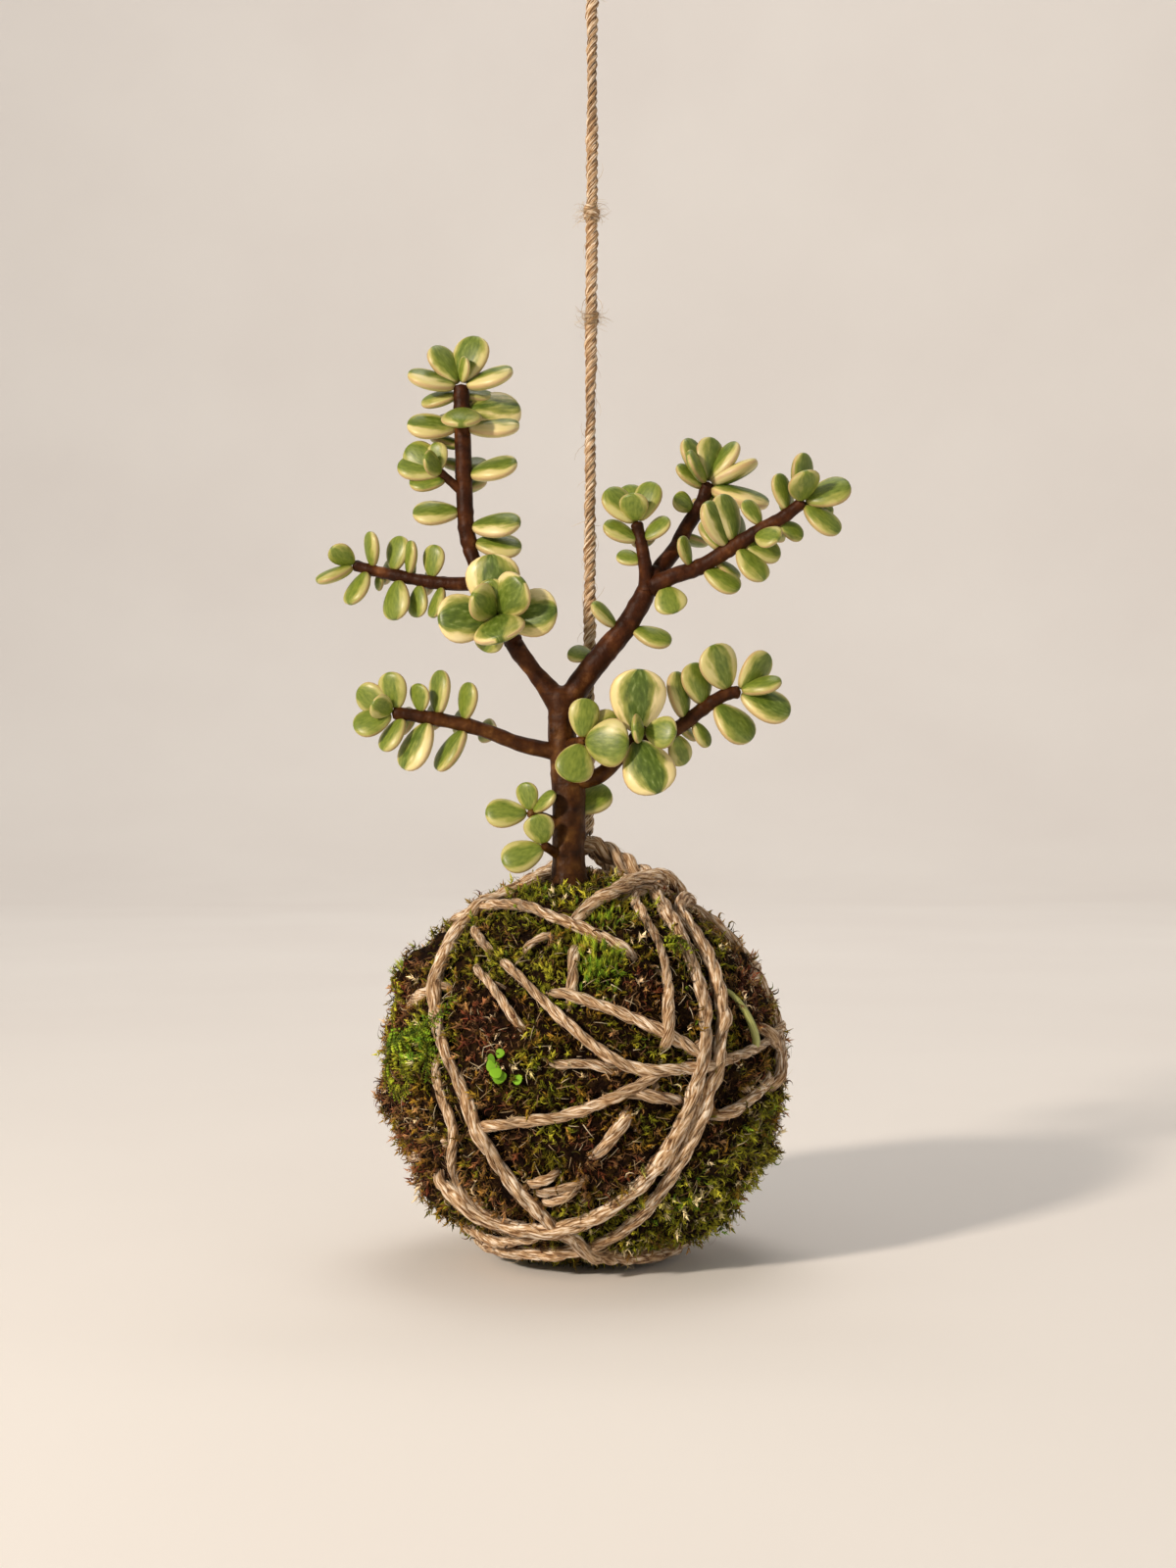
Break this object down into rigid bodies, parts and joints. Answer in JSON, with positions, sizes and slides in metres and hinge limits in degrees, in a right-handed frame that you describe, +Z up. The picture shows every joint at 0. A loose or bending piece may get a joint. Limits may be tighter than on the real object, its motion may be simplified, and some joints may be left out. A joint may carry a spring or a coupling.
{
  "type": "kokedama moss ball plant",
  "caption": "Small variegated elephant bush growing from a ball of soil and moss bound with jute twine, with a jute cord and loop on top.",
  "frame": {"origin": "centre of the flat spot under the ball, on the surface that it rests on", "axes": "+Z up along the trunk and the cord, +X to the right and +Y to the back as seen in the picture"},
  "size_m": [0.1287, 0.1006, 0.342],
  "materials": {
    "soil": "damp potting soil pressed into a ball",
    "moss": "living sheet moss, matte, green and brown",
    "jute": "natural jute twine, matte and fibrous",
    "cord": "natural jute cord, matte and fibrous",
    "bark": "smooth young bark, reddish brown, faintly ringed",
    "leaf": "smooth waxy succulent leaf, green stripe with a cream margin"
  },
  "bodies": {
    "root": {"soil_core": "soil", "moss_shell": "moss", "binding_twine": "jute", "trunk": "bark", "left_top_shoot": "leaf", "left_side_shoot": "leaf", "front_left_shoot": "leaf", "lower_left_shoot": "leaf", "lower_right_shoot": "leaf", "lower_right_front_shoot": "leaf", "trunk_front_shoot": "leaf", "upper_sprig": "leaf", "lower_sprig": "leaf", "right_top_shoot": "leaf", "right_small_shoot": "leaf", "right_far_shoot": "leaf", "hanging_cord": "cord", "cord_loop": "cord"}
  },
  "joints": []
}
